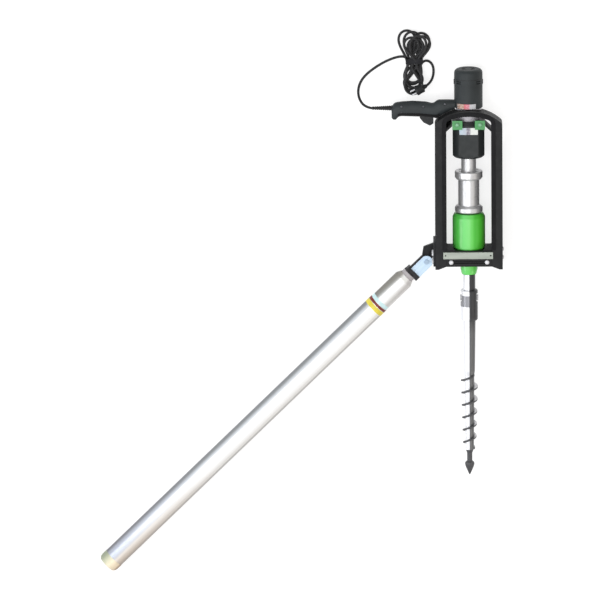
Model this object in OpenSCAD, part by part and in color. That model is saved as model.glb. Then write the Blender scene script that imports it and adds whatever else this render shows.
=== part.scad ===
// Powered soil auger: a motor and two planetary gear stages in a steel frame,
// with a telescopic torque arm at the side. It lies on its back: X runs to the
// right, Y towards the motor, Z up from the surface it lies on.

/* [Machine] */
// Height of the machine's axis above the surface it lies on
axis_z = 54; // [53.6:0.1:58]
// Radius of the motor housing
motor_r = 43.5; // [43.2:0.1:44]
// Radius of the green reduction housing
housing_r = 50; // [49:0.5:51]
// Half the width across the gearbox flats
gearbox_w = 48.5; // [48:0.1:50]
// Radius of the two coupling flanges
flange_r = 42.5; // [40:0.5:44]

/* [Frame] */
// Half the outer width of the frame
frame_w = 103; // [102:0.5:106]
// Depth of the side channels
frame_d = 108; // [106:1:112]
// Width of a channel's flange
flange_w = 33; // [28:1:36]
// Thickness of the folded sheet
sheet = 4; // [3:0.5:5]
// Radius of the arch over the motor end
arch_r = 150; // [148:1:152]

/* [Auger] */
// Radius of the screw at its upper end
screw_r = 27; // [24:0.5:32]
// Radius of the screw at its lower end
screw_low_r = 20; // [18:0.5:24]
// Rise of the screw in one turn
screw_pitch = 39; // [36:1:44]
// Number of turns
screw_turns = 6; // [4:1:6]

/* [Torque arm] */
// Angle of the arm, anticlockwise from X
arm_angle = 224.3; // [215:0.1:240]
// Radius of the outer tube, which lies on the surface
tube_r = 32.5; // [30:0.5:33]
// Distance from the hinge pin to the far end of the arm
arm_l = 1362; // [1000:1:1500]

/* [Gears] */
// Gear module
gear_m = 1.5; // [1.4:0.05:1.5]

/* [Hidden] */
$fn = 64;

run = 0.05;          // radial running clearance of a shaft in its bearing
black = [0.13, 0.14, 0.14];
charcoal = [0.24, 0.26, 0.27];
steel = [0.72, 0.73, 0.75];
dark_steel = [0.45, 0.46, 0.48];
green = [0.25, 0.78, 0.22];

// Stations along the machine's axis, from the auger end to the motor end
boss_y = -47;        // end of the green boss
web_y = 35;          // top of the base channel, where the housing stands
base_y = -14;        // lower edge of the base channel
housing_y = 145;     // top of the reduction housing
low_flange_y = [148, 170];
up_flange_y = [250, 276];
gearbox_y = [321, 424];
motor_y = [475, 566, 595];
second_y = 98;       // lower face of the second gear stage
first_y = 397;       // lower face of the first gear stage
sleeve_y = [-192, -97];
screw_y = -366;      // top of the screw
point_y = -680;      // point of the auger
pin_r = 4;           // planet pins
planet_at = [90, 210, 330];
sun_teeth = 12;
planet_teeth = 18;
ring_teeth = 48;
planet_c = gear_m * (sun_teeth + planet_teeth) / 2;

pivot = [-130, -12.4, tube_r];
tube_y = -9;         // the tube's axis, beside the hinge pin
bracket_x = 6;       // thickness of the arm bracket's plate
hole_y = [-2, 22];   // bolt holes of the arm bracket, along Y
hole_z = [58, 86];   // and along Z
base_screw_x = 55;

// ---------- helpers ----------

// Turns a shape made along +Z so that it stands along +Y on the machine's axis
module on_axis(y = 0) {
  translate([0, y, axis_z]) rotate([-90, 0, 0]) children();
}

// A solid of revolution about the machine's axis, from [radius, Y] points
module turned(points) {
  on_axis() rotate_extrude() polygon(points);
}

module ring(r_out, r_in, y0, y1) {
  on_axis(y0) difference() {
    cylinder(r = r_out, h = y1 - y0);
    translate([0, 0, -1]) cylinder(r = r_in, h = y1 - y0 + 2);
  }
}

module rod(r, y0, y1) {
  on_axis(y0) cylinder(r = r, h = y1 - y0);
}

// A screw along +Z from its tip at 0, with a domed head of radius head_r
module screw(r, length, head_r, head_h) {
  cylinder(r = r, h = length);
  translate([0, 0, length]) rotate_extrude() polygon([[0, 0], [head_r, 0], [head_r, head_h * 0.45],
    [head_r * 0.8, head_h * 0.85], [head_r * 0.45, head_h], [0, head_h]]);
}

module nut(r, h, bore) {
  difference() {
    cylinder(r = r, h = h, $fn = 6);
    translate([0, 0, -1]) cylinder(r = bore, h = h + 2);
  }
}

function polar(r, a) = [r * cos(a), r * sin(a)];

// A spur gear's outline. Each tooth has root, pitch and tip radii, and its half
// widths there are parts of the tooth pitch, from which play is added.
module gear_2d(teeth, root, tip, first = 0, play = 0) {
  pitch = 360 / teeth;
  radius = [root, gear_m * teeth / 2, tip];
  half = [0.31 + play, 0.215 + play, 0.12 + play];
  polygon([for (i = [0 : teeth - 1]) each concat(
    [for (k = [0 : 2]) polar(radius[k], first + (i - half[k]) * pitch)],
    [for (k = [2 : -1 : 0]) polar(radius[k], first + (i + half[k]) * pitch)])]);
}

module sun_gear(y, h) {
  r0 = gear_m * sun_teeth / 2;
  on_axis(y) linear_extrude(h) gear_2d(sun_teeth, r0 - 1.25 * gear_m, r0 + 0.8 * gear_m, 0);
}

module planet_gear(y, angle) {
  r0 = gear_m * planet_teeth / 2;
  on_axis(y + 1.5) rotate([0, 0, angle]) translate([planet_c, 0, 0]) difference() {
    linear_extrude(16)
      gear_2d(planet_teeth, r0 - 1.25 * gear_m, r0 + 0.8 * gear_m, 180 / planet_teeth);
    translate([0, 0, -1]) cylinder(r = pin_r + run, h = 18);
  }
}

module ring_gear(y, r_out) {
  r0 = gear_m * ring_teeth / 2;
  on_axis(y) difference() {
    cylinder(r = r_out, h = 20);
    translate([0, 0, -1]) linear_extrude(22)
      gear_2d(ring_teeth, r0 - 0.8 * gear_m, r0 + 1.25 * gear_m, 180 / ring_teeth, 0.055);
  }
}

// A planet carrier: a disc below the gears with three pins
module carrier(y, r) {
  rod(r, y - 13, y - 3);
  for (a = planet_at) on_axis(y - 3) rotate([0, 0, a])
    translate([planet_c, 0, 0]) cylinder(r = pin_r, h = 23);
}

// ---------- motor ----------

module motor_housing() color(charcoal) difference() {
  turned([[16, motor_y[0]], [motor_r - 1.5, motor_y[0]], [motor_r, motor_y[0] + 1.5], [motor_r, motor_y[1]],
    [motor_r - 3.5, motor_y[1]], [motor_r - 3.5, motor_y[0] + 8], [16, motor_y[0] + 8]]);
  for (a = [45 : 90 : 315]) for (y = [553, 559]) on_axis(y) rotate([0, 0, a])
    translate([30, -9, 0]) cube([20, 18, 2.5]);
}

module motor_cap() color(charcoal) {
  cap_r = 12;
  turned([[motor_r, motor_y[1]], [motor_r, motor_y[2] - cap_r],
    for (a = [15 : 15 : 90]) [motor_r - cap_r + cap_r * cos(a), motor_y[2] - cap_r + cap_r * sin(a)],
    [0, motor_y[2]], [0, 586], [13, 586], [13, 574], [17, 574], [17, 588], [motor_r - cap_r, 588],
    [motor_r - 3.5, motor_y[2] - cap_r], [motor_r - 3.5, motor_y[1]]]);
}

module nameplates() color([0.8, 0.8, 0.82]) {
  intersection() {
    ring(motor_r + 0.8, motor_r, 477.5, 496.5);
    translate([-34, 470, axis_z]) cube([56, 40, 60]);
  }
  translate([-28.5, 398, axis_z + gearbox_w]) cube([57, 22, 1.5]);
}

module stator() color(dark_steel) ring(motor_r - 3.5, 25.5, 500, 545);

module carbon_brushes() color([0.3, 0.3, 0.3]) for (side = [-1, 1]) translate([side * 26.7, 555, axis_z])
  cube([24.6, 8, 8], center = true);

module ball_bearings() color(steel) {
  ring(13, 6 + run, 575, 585);
  ring(16, 6 + run, motor_y[0], motor_y[0] + 8);
  ring(31, 23 + run, gearbox_y[0], gearbox_y[0] + 11);
  ring(24, 14 + run, housing_y - 11, housing_y - 1);
  ring(30, 16 + run, 47, 57);
  ring(21, 16 + run, -42, -30);
}

module rotor_shaft() color(steel) {
  rod(6, first_y + 20, 585);
  sun_gear(first_y, 20);
}

module armature() color([0.55, 0.35, 0.2]) {
  ring(24.5, 6, 500, 545);
  ring(14, 6, 549, 563);
}

module cooling_fan() color(black) {
  ring(37, 6, 486, 488);
  for (a = [0 : 40 : 320]) on_axis(488) rotate([0, 0, a]) translate([12, -0.8, 0]) cube([23, 1.6, 8]);
}

// ---------- gearbox ----------

module gearbox_2d(w, flat) polygon([[w, flat], [flat, w], [-flat, w], [-w, flat],
  [-w, -flat], [-flat, -w], [flat, -w], [w, -flat]]);

module gearbox_housing() color(black) difference() {
  intersection() {
    on_axis(gearbox_y[0]) linear_extrude(gearbox_y[1] - gearbox_y[0]) gearbox_2d(gearbox_w, 28);
    turned([[0, gearbox_y[0]], [44, gearbox_y[0]], [60, gearbox_y[0] + 14], [60, gearbox_y[1] - 4],
      [56, gearbox_y[1]], [0, gearbox_y[1]]]);
  }
  rod(31, gearbox_y[0] - 1, gearbox_y[0] + 12);
  rod(44, gearbox_y[0] + 11, gearbox_y[1] + 1);
  // Two grooves run down each side of the front panel
  for (side = [-1, 1]) translate([side * 29.5 - 1, gearbox_y[0] + 8, axis_z + gearbox_w - 2.4])
    cube([2, 84, 3]);
}

module neck_collar() color([0.62, 0.62, 0.66]) turned([[13, gearbox_y[1] - 6], [44, gearbox_y[1] - 6],
  [44, gearbox_y[1]], [38, gearbox_y[1]], [38, motor_y[0]], [13, motor_y[0]]]);

module first_ring_gear() color(dark_steel) ring_gear(first_y, 44);
module first_planet_a() color(steel) planet_gear(first_y, planet_at[0]);
module first_planet_b() color(steel) planet_gear(first_y, planet_at[1]);
module first_planet_c() color(steel) planet_gear(first_y, planet_at[2]);
module first_carrier() color(dark_steel) carrier(first_y, 34);

module spindle() color(steel) {
  rod(23, up_flange_y[1], first_y - 13);
  rod(12, up_flange_y[1] - 14, up_flange_y[1]);
}

// Screw places on both flanges, on a circle inside the coupling tube's wall
module flange_screws(y, tip_y, r, head_r) {
  side = y > tip_y ? 1 : -1;
  for (a = [0 : 60 : 300]) on_axis() rotate([0, 0, a + 30]) translate([28.5, 0, 0]) {
    translate([0, 0, min(y - side * 7, tip_y)]) cylinder(r = r, h = abs(y - tip_y) - 7);
    translate([0, 0, min(y, y - side * 7)]) cylinder(r = head_r, h = 7);
  }
}

module upper_flange() color(steel) difference() {
  turned([[0, up_flange_y[0]], [33, up_flange_y[0]], [flange_r - 4, up_flange_y[0] + 1],
    [flange_r, up_flange_y[0] + 7], [flange_r, up_flange_y[1] - 1.5], [flange_r - 1.5, up_flange_y[1]],
    [12, up_flange_y[1]], [12, up_flange_y[1] - 14], [0, up_flange_y[1] - 14]]);
  flange_screws(up_flange_y[1], up_flange_y[0] - 14, 3, 5.2);
}

module coupling_tube() color(steel) difference() {
  ring(32.5, 22, low_flange_y[1], up_flange_y[0]);
  flange_screws(up_flange_y[1], up_flange_y[0] - 14, 3, 5.2);
  flange_screws(low_flange_y[0], low_flange_y[1] + 14, 3, 5.2);
}

module lower_flange() color(steel) difference() {
  turned([[14, low_flange_y[0]], [flange_r - 3, low_flange_y[0]], [flange_r, low_flange_y[0] + 3],
    [flange_r, low_flange_y[1] - 7], [flange_r - 6, low_flange_y[1] - 1], [33, low_flange_y[1]],
    [14, low_flange_y[1]]]);
  flange_screws(low_flange_y[0], low_flange_y[1] + 14, 3, 5.2);
}

module coupling_screws() color(dark_steel) {
  flange_screws(up_flange_y[1], up_flange_y[0] - 14, 3, 5.2);
  flange_screws(low_flange_y[0], low_flange_y[1] + 14, 3, 5.2);
}

// ---------- reduction stage ----------

module input_shaft() color(steel) {
  rod(14, second_y + 23, low_flange_y[1]);
  rod(7, second_y + 20, second_y + 23);
  sun_gear(second_y, 20);
}

module reduction_housing() color(green) turned([[30, web_y], [26, web_y], [26, -32], [22.5, boss_y],
  [21, boss_y], [21, -30], [24, -28], [24, 44], [30, 47], [30, 57], [42.5, 60], [42.5, 132],
  [24, 134], [24, housing_y], [housing_r - 6, housing_y], [housing_r, housing_y - 12],
  [housing_r, web_y + 4], [housing_r - 3, web_y]]);

module second_ring_gear() color(dark_steel) ring_gear(second_y, 42.5);
module second_planet_a() color(steel) planet_gear(second_y, planet_at[0]);
module second_planet_b() color(steel) planet_gear(second_y, planet_at[1]);
module second_planet_c() color(steel) planet_gear(second_y, planet_at[2]);

module output_carrier() color(dark_steel) {
  difference() {
    union() {
      carrier(second_y, 34);
      rod(16, boss_y - 2, second_y - 13);
      rod(19, sleeve_y[1], boss_y - 2);
      rod(15, sleeve_y[1] - 46, sleeve_y[1]);
    }
    bolt_hole();
  }
}

// ---------- auger ----------

bolt_y = -122;       // cross bolt through the coupling sleeve

module bolt_hole() translate([-40, bolt_y, axis_z]) rotate([0, 90, 0]) cylinder(r = 6, h = 80);

module auger_coupling() color(steel) difference() {
  turned([[15, sleeve_y[0]], [24.5, sleeve_y[0]], [26.5, sleeve_y[0] + 3], [26.5, sleeve_y[1] - 3],
    [24.5, sleeve_y[1]], [15, sleeve_y[1]]]);
  bolt_hole();
  // Wrench flats where the cross bolt seats
  for (side = [-1, 1]) translate([side * 33 - 11, bolt_y - 14, 0]) cube([22, 28, 120]);
}

module coupling_bolt() color(dark_steel) translate([0, bolt_y, axis_z]) rotate([0, 90, 0]) {
  translate([0, 0, -22]) cylinder(r = 6, h = 44);
  translate([0, 0, 22]) cylinder(r = 10, h = 6, $fn = 6);
  translate([0, 0, -28]) cylinder(r = 10, h = 6, $fn = 6);
}

module auger_shaft() color(steel) turned([[0, -600], [13, -600], [15, screw_y], [17, screw_y + 14],
  [19.5, sleeve_y[0]], [15, sleeve_y[0]], [15, -145], [0, -145]]);

// The screw's blade: a helical strip swept down the shaft, right-handed
module auger_flight() color(steel) {
  steps = 24;
  n = screw_turns * steps;
  inner = 11;
  section = [for (i = [0 : n])
    let (t = i / n, grow = min(1, i / 8, (n - i) / 5 + 0.25),
         outer = inner + 4 + (screw_r + (screw_low_r - screw_r) * t - inner - 4) * grow,
         y = screw_y + 3 - screw_pitch * i / steps)
    each [[inner, y + 2.6], [outer, y + 1.1], [outer, y - 1.1], [inner, y - 2.6]]];
  angle = [for (i = [0 : n]) each [for (k = [0 : 3]) 360 * i / steps]];
  points = [for (j = [0 : len(section) - 1])
    [section[j][0] * cos(angle[j]), section[j][1], axis_z + section[j][0] * sin(angle[j])]];
  sides = [for (i = [0 : n - 1]) for (k = [0 : 3])
    let (a = 4 * i + k, b = 4 * i + (k + 1) % 4) each [[b, a, b + 4], [b + 4, a, a + 4]]];
  polyhedron(points, concat(sides, [[3, 0, 2], [2, 0, 1]], [[4 * n + 1, 4 * n, 4 * n + 2],
    [4 * n + 2, 4 * n, 4 * n + 3]]));
}

module auger_tip() color(dark_steel) turned([[0, point_y], [2, point_y + 2], [12.5, -654], [14.5, -646],
  [14, -641], [8, -635], [8, -612], [12, -600], [0, -600]]);

// ---------- frame ----------

fillet_r = 14;
arch_cy = 324;       // centre of the arch
arch_foot = 405;     // where the arch stands on the channels
arch_z = 48;         // rear edge of the arch
rear_top = 330;      // where a channel's rear edge starts to slope

// Outline of the arch, drawn inwards by inset
module arch_2d(inset) {
  fx = frame_w - fillet_r;
  fy = sqrt(pow(arch_r - fillet_r, 2) - fx * fx);
  low = (arch_foot - arch_cy) / fy;
  translate([0, arch_cy]) {
    intersection() {
      circle(r = arch_r - inset, $fn = 200);
      polygon([[-low * fx, low * fy], [low * fx, low * fy], [2 * fx, 2 * fy], [-2 * fx, 2 * fy]]);
    }
    for (side = [-1, 1]) translate([side * fx, fy]) circle(r = fillet_r - inset);
  }
  translate([-frame_w + inset, arch_foot]) square([2 * (frame_w - inset), arch_cy + fy - arch_foot]);
}

module arch_sheet() {
  translate([0, 0, arch_z]) linear_extrude(frame_d - sheet - arch_z) difference() {
    arch_2d(0);
    arch_2d(sheet);
    translate([-frame_w + sheet, arch_foot - 1]) square([2 * (frame_w - sheet), 12]);
  }
  translate([0, 0, frame_d - sheet]) linear_extrude(sheet) difference() {
    arch_2d(0);
    intersection() {
      translate([0, 283.3]) circle(r = 174, $fn = 200);
      translate([-frame_w + flange_w, arch_foot - 1]) square([2 * (frame_w - flange_w), 100]);
    }
  }
}

// The arch is notched from behind for the neck collar
module top_arch() color(black) difference() {
  arch_sheet();
  rod(39.5, arch_foot, 500);
  translate([-39.5, arch_foot + 30, 0]) cube([79, 60, axis_z]);
}

module channel(hole_shift) {
  difference() {
    rotate([90, 0, 90]) translate([0, 0, -frame_w]) linear_extrude(sheet)
      polygon([[-23, 0], [rear_top, 0], [arch_foot, arch_z], [arch_foot, frame_d], [-23, frame_d]]);
    bracket_holes(hole_shift);
  }
  // Front flange, then rear flange, both turned inwards
  translate([0, 0, frame_d - sheet]) linear_extrude(sheet) flange_2d(arch_foot);
  linear_extrude(sheet) flange_2d(rear_top);
}

module flange_2d(top) polygon([[-frame_w + sheet, -23], [-frame_w + 10, -23], [-frame_w + flange_w, base_y],
  [-frame_w + flange_w, top], [-frame_w + sheet, top]]);

module left_channel() color(black) channel(0);

// Its spare bracket holes are 6 mm nearer the ground, clear of the base's web
module right_channel() color(black) mirror([1, 0, 0]) channel(-6);

module bracket_holes(shift = 0) for (y = hole_y) for (z = hole_z)
  translate([-150, y + shift, z]) rotate([0, 90, 0]) cylinder(r = 4.2, h = 60);

module base_channel() color(black) {
  half = frame_w - flange_w;
  inner = frame_w - sheet;
  difference() {
    union() {
      translate([-inner, web_y - sheet, sheet]) cube([2 * inner, sheet, frame_d - 2 * sheet]);
      for (z = [0, frame_d - sheet]) translate([-half, base_y, z]) cube([2 * half, web_y - base_y, sheet]);
    }
    rod(27, 0, 60);
    for (side = [-1, 1]) translate([side * base_screw_x, 0, frame_d - 10]) cylinder(r = 4, h = 20);
  }
  // Corner gussets behind the front flanges
  for (side = [0, 1]) mirror([side, 0, 0]) translate([0, 0, frame_d - 9]) linear_extrude(sheet)
    polygon([[-inner, web_y], [-inner, 82], [-84, 66], [-70, 60], [-54, 52], [-42, web_y]]);
}

module front_brace() color([0.75, 0.78, 0.74]) difference() {
  translate([-79, 11.5, frame_d]) cube([152, 20.5, 6]);
  for (side = [-1, 1]) translate([side * 69 - 3, 22, frame_d - 1]) cylinder(r = 2.5, h = 9);
}

module frame_bolts() color(steel) {
  for (side = [-1, 1]) {
    translate([side * base_screw_x, 0, frame_d - 16]) screw(4, 16, 7, 4.5);
    translate([side * base_screw_x, 0, frame_d - 11]) nut(7.5, 7, 4);
    translate([side * 35, 430.5, 84]) screw(4, frame_d - 84, 6.5, 4);
  }
  // Arm bracket
  for (y = hole_y) for (z = hole_z) translate([-91, y, z]) rotate([0, -90, 0]) {
    screw(4, frame_w + bracket_x - 91, 7, 5);
    translate([0, 0, 1]) nut(7.5, 7, 4);
  }
  // Right side joint of the base and the channel
  for (y = [-4, 22]) translate([frame_w, y, 18]) rotate([0, 90, 0]) screw(4, 0.1, 6.5, 4.5);
}

module diagonal_stays() color(black) {
  for (side = [0, 1]) mirror([side, 0, 0])
    translate([0, 0, 46]) linear_extrude(54) polygon([[-50.5, 434], [-50.5, 424], [-74, 402],
      [-frame_w + sheet, 390], [-frame_w + sheet, 396], [-76, 409]]);
  // Closed corner under the handle's root
  translate([0, 0, 46]) linear_extrude(4) polygon([[-50.5, 426], [-50.5, 440], [-80, 440],
    [-frame_w + sheet, 425], [-frame_w + sheet, 392], [-74, 404]]);
}

module clamp_ring() color(black) difference() {
  union() {
    ring(50, 38, 424.5, 436.5);
    translate([-50, 424.5, axis_z + 20]) cube([100, 12, 26]);
  }
  rod(38, 420, 440);
  translate([-60, 420, axis_z - 0.75]) cube([120, 30, 1.5]);
  for (side = [-1, 1]) translate([side * 35, 430.5, 80]) cylinder(r = 4, h = 40);
}

module clamp_lugs() color(green) for (side = [0, 1]) mirror([side, 0, 0]) difference() {
  translate([-50, 415, 100]) cube([31, 28, frame_d - 100]);
  // Step over the gearbox and its plate
  translate([-60, 410, 90]) cube([60, 14.2, axis_z - 90 + gearbox_w + 1.7]);
  translate([-35, 430.5, 90]) cylinder(r = 4, h = 40);
}

module arm_bracket() color(black) difference() {
  union() {
    translate([-frame_w - bracket_x, base_y, 4]) cube([bracket_x, 74, 100]);
    translate([0, 0, pivot[2] - 6]) linear_extrude(12) {
      polygon([[-frame_w - 3, 46], [-139, 34], [pivot[0] - 17, pivot[1]], [pivot[0], pivot[1] - 17],
        [-frame_w - 3, base_y]]);
      translate([pivot[0], pivot[1]]) circle(r = 17);
    }
  }
  translate([pivot[0], pivot[1], 0]) cylinder(r = 6 + run, h = 80);
  bracket_holes();
}

// ---------- torque arm ----------

spigot_r = 18;       // knuckle block's spigot in the inner tube

// The arm's own frame: X along the arm from the hinge pin, Z up
module on_arm() translate(pivot) rotate([0, 0, arm_angle]) children();

// A tube or bar along the arm, on the tube's axis
module along(x) on_arm() translate([x, tube_y, 0]) rotate([0, 90, 0]) children();

module clevis_cheeks() color([0.72, 0.8, 0.88]) on_arm() difference() {
  for (z = [-13, 8]) translate([0, 0, z]) linear_extrude(5) {
    circle(r = 19);
    translate([0, -19]) square([48, 38]);
  }
  cylinder(r = 6, h = 80, center = true);
}

module clevis_pin() color(steel) translate([pivot[0], pivot[1], pivot[2]]) {
  translate([0, 0, -17]) cylinder(r = 6, h = 30);
  translate([0, 0, 13]) cylinder(r = 7.5, h = 4.5);
  translate([0, 0, -19.5]) cylinder(r = 9.5, h = 6.5, $fn = 6);
}

module knuckle_block() color(black) {
  on_arm() {
    translate([30, -19, -8]) cube([18, 38, 16]);
    translate([48, -27, -19]) cube([16, 46, 38]);
    translate([-8, -25, 6]) cube([60, 6, 9]);
  }
  along(60) cylinder(r = 22, h = 16);
  along(70) cylinder(r = spigot_r, h = 26);
}

module inner_tube() color(steel) along(0) rotate_extrude() polygon([[spigot_r, 76],
  [24, 76], [tube_r - 1.55, 90], [tube_r - 1.55, 430], [tube_r - 4, 430], [tube_r - 4, 96],
  [spigot_r, 96]]);

module tube_collar() color([0.3, 0.08, 0.06]) along(196) difference() {
  cylinder(r = tube_r, h = 8);
  translate([0, 0, -1]) cylinder(r = tube_r - 1.5, h = 10);
}

module outer_tube() color(steel) along(204) difference() {
  cylinder(r = tube_r, h = arm_l - 214);
  translate([0, 0, -1]) cylinder(r = tube_r - 1.5, h = arm_l);
}

module arm_end_cap() color([0.8, 0.77, 0.62]) along(0) rotate_extrude() polygon([[0, arm_l - 40],
  [tube_r - 1.5, arm_l - 40], [tube_r - 1.5, arm_l - 10], [tube_r - 2, arm_l - 9], [tube_r - 4, arm_l - 3],
  [tube_r - 9, arm_l], [0, arm_l]]);

// ---------- handle ----------

trigger_x = [-149, -107];
shell_wall = 3;

// Outline of the handle, with its rear hook and the foot that follows the arch
function handle_points() = [[-234, 437], [-219, 436], [-216, 446], [-150, 445], [-103.5, 444], [-97, 443],
  [-82, 455], [-66, 464], [-47, 471.5], [-47, 498], [-92, 499], [-98, 496], [-109, 487.5], [-124, 492],
  [-170, 495], [-222, 492], [-232, 480]];

module handle_half(z, open_z) difference() {
  translate([0, 0, z]) linear_extrude(18) polygon(handle_points());
  // Cavity for the switch, open on the joint between the two shells
  translate([-208, 450, open_z]) cube([106, 37, 15]);
  // Trigger opening
  translate([trigger_x[0] - 0.6, 430, axis_z - 9]) cube([trigger_x[1] - trigger_x[0] + 1.2, 30, 18]);
  // Cord guard's seat
  translate([-240, 473, axis_z]) rotate([0, 90, 0]) cylinder(r = 8, h = 40);
}

module handle_front_shell() color(charcoal) handle_half(axis_z, axis_z);

module handle_rear_shell() color(charcoal) difference() {
  handle_half(axis_z - 18, axis_z - 15);
  translate([-162, 468, 30]) cylinder(r = 5.5, h = 20);
}

module switch_body() color([0.2, 0.2, 0.22]) translate([-152, 463, axis_z - 11]) cube([48, 23.5, 22]);

module trigger() color(black) translate([0, 0, axis_z - 8]) linear_extrude(16)
  polygon([[trigger_x[0], 443], [-137.5, 428.5], [-118, 418.5], [trigger_x[1], 425.5],
    [trigger_x[1], 453], [trigger_x[0], 453]]);

module lock_button() color(black) translate([-162, 468, axis_z - 21]) {
  cylinder(r = 5, h = 10);
  translate([0, 0, 6.4]) cylinder(r = 6.5, h = 1.6);
}

module cord_guard() color(black) translate([-294, 473, axis_z]) rotate([0, 90, 0])
  rotate_extrude() polygon([[0, 0], [5, 0], [7.4, 50], [8, 60], [8, 80], [0, 80]]);

// ---------- cord ----------

cord_r = 4;
// Route of the lead from the guard down to the hank
lead = [[-294, 473, 54], [-306, 474, 52], [-317, 478, 47], [-326, 485, 39], [-332, 494, 30],
  [-336, 505, 21], [-337, 517, 13], [-335, 530, 7], [-330, 543, 4.2], [-322, 556, 4.2],
  [-311, 568, 4.2], [-297, 580, 4.2], [-281, 591, 4.2], [-264, 602, 4.2], [-246, 611, 4.2],
  [-229, 618, 4.2], [-212, 621, 4.2], [-197, 615.5, 4.2], [-187.5, 603, 4.2]];
// Route of the tail from the waist of the hank round to the plug
tail = [[-147.8, 588, 19.5], [-146.5, 599, 17.5], [-141, 608.5, 14], [-131.5, 613, 9.5],
  [-120.5, 611, 6], [-111.5, 603.5, 4.4], [-106.5, 592.5, 4.6], [-105, 580, 7], [-106, 567.5, 13],
  [-110, 556, 23], [-117.5, 546.5, 35], [-128, 540, 44.8]];

function unit(v) = v / norm(v);
function heading(p, i) = unit(p[min(i + 1, len(p) - 1)] - p[max(i - 1, 0)]);
function side_of(t) = unit(cross(t, [0, 0, 1]));

// Sweeps a round section of radius r along the points p
module swept(p, r) {
  n = 8;
  rings = [for (i = [0 : len(p) - 1]) let (t = heading(p, i), s = side_of(t), u = cross(s, t))
    for (k = [0 : n - 1]) p[i] + r * (cos(360 * k / n) * s + sin(360 * k / n) * u)];
  last = n * (len(p) - 1);
  sides = [for (i = [0 : len(p) - 2]) for (k = [0 : n - 1])
    let (a = n * i + k, b = n * i + (k + 1) % n) each [[a, b + n, b], [a, a + n, b + n]]];
  polyhedron(rings, concat(sides, [[for (k = [0 : n - 1]) k]], [[for (k = [n - 1 : -1 : 0]) last + k]]));
}

module cord_tube() color(black) {
  swept(lead, cord_r);
  swept(tail, cord_r);
}

module cord_hank() color(black) linear_extrude(29) {
  translate([-163, 662]) circle(r = 52);
  translate([-188, 533]) square([48, 120]);
  translate([-167, 534]) circle(r = 29);
}

module plug() color(black) translate([-128, 540, 44.8]) rotate([0, 0, 207]) rotate([0, 90, 0]) {
  rotate_extrude() polygon([[0, 0], [6, 0], [8, 8], [15.5, 12], [15.5, 34], [13.5, 36], [0, 36]]);
  for (side = [-1, 1]) translate([0, side * 6, 36]) cylinder(r = 2.4, h = 17);
}

motor_housing();
motor_cap();
nameplates();
stator();
carbon_brushes();
ball_bearings();
rotor_shaft();
armature();
cooling_fan();
gearbox_housing();
neck_collar();
first_ring_gear();
first_planet_a();
first_planet_b();
first_planet_c();
first_carrier();
spindle();
upper_flange();
coupling_tube();
lower_flange();
coupling_screws();
input_shaft();
reduction_housing();
second_ring_gear();
second_planet_a();
second_planet_b();
second_planet_c();
output_carrier();
auger_coupling();
coupling_bolt();
auger_shaft();
auger_flight();
auger_tip();
left_channel();
right_channel();
top_arch();
base_channel();
front_brace();
frame_bolts();
diagonal_stays();
clamp_ring();
clamp_lugs();
arm_bracket();
clevis_cheeks();
clevis_pin();
knuckle_block();
inner_tube();
tube_collar();
outer_tube();
arm_end_cap();
handle_front_shell();
handle_rear_shell();
switch_body();
trigger();
lock_button();
cord_guard();
cord_tube();
cord_hank();
plug();
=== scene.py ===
"""Looks of a powered soil auger that lies on its back on a pale floor.

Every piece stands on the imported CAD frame, in metres: X to the right, Y towards
the motor, Z up. Shapes are drawn in millimetres and piece() turns them into metres.
"""

import math

import bmesh
import bpy
from mathutils import Matrix, Vector


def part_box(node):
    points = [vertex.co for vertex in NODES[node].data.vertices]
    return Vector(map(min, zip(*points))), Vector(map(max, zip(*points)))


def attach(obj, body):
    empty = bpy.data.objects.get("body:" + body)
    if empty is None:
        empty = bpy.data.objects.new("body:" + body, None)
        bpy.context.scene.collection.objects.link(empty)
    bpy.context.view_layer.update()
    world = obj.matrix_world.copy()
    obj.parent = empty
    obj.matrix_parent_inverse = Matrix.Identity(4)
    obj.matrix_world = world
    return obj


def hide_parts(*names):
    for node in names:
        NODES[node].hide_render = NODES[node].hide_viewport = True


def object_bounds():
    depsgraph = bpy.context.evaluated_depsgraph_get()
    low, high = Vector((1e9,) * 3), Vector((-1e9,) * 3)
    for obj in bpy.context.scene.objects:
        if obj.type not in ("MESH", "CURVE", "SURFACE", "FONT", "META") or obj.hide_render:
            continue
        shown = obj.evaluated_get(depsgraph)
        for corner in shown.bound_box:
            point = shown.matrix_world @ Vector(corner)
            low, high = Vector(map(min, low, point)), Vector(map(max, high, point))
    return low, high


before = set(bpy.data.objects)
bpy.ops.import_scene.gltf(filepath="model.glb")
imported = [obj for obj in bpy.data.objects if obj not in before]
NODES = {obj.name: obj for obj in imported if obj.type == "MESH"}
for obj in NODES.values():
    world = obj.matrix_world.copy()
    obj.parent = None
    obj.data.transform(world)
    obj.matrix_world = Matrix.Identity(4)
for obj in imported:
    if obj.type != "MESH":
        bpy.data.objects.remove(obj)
CAD_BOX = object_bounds()
MM = 0.001


def span(node):
    """The lowest and highest corner of a CAD node in millimetres."""
    low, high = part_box(node)
    return low / MM, high / MM


AXIS_Z = sum(corner.z for corner in span("spindle")) / 2
FRAME_DEPTH = span("right_channel")[1].z
FLANGE_INNER = span("right_channel")[0].x
MOTOR_R = span("motor_cap")[1].x
PIVOT = (span("clevis_pin")[0] + span("clevis_pin")[1]) / 2
PIVOT.z = 32.5       # the arm's height over the floor
ARM_ANGLE = math.radians(224.3)
TUBE_R = 32.5
TUBE_Y = -9.0        # the tube's axis, beside the hinge pin
CORD_D = 8.0

# ---------- camera ----------

TILT = math.radians(13)
ROLL = math.radians(0.33)
AIM = Vector((-518, -127.5, AXIS_Z)) * MM
DISTANCE = 60.0
PICTURE_WIDTH = 1.8376

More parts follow.
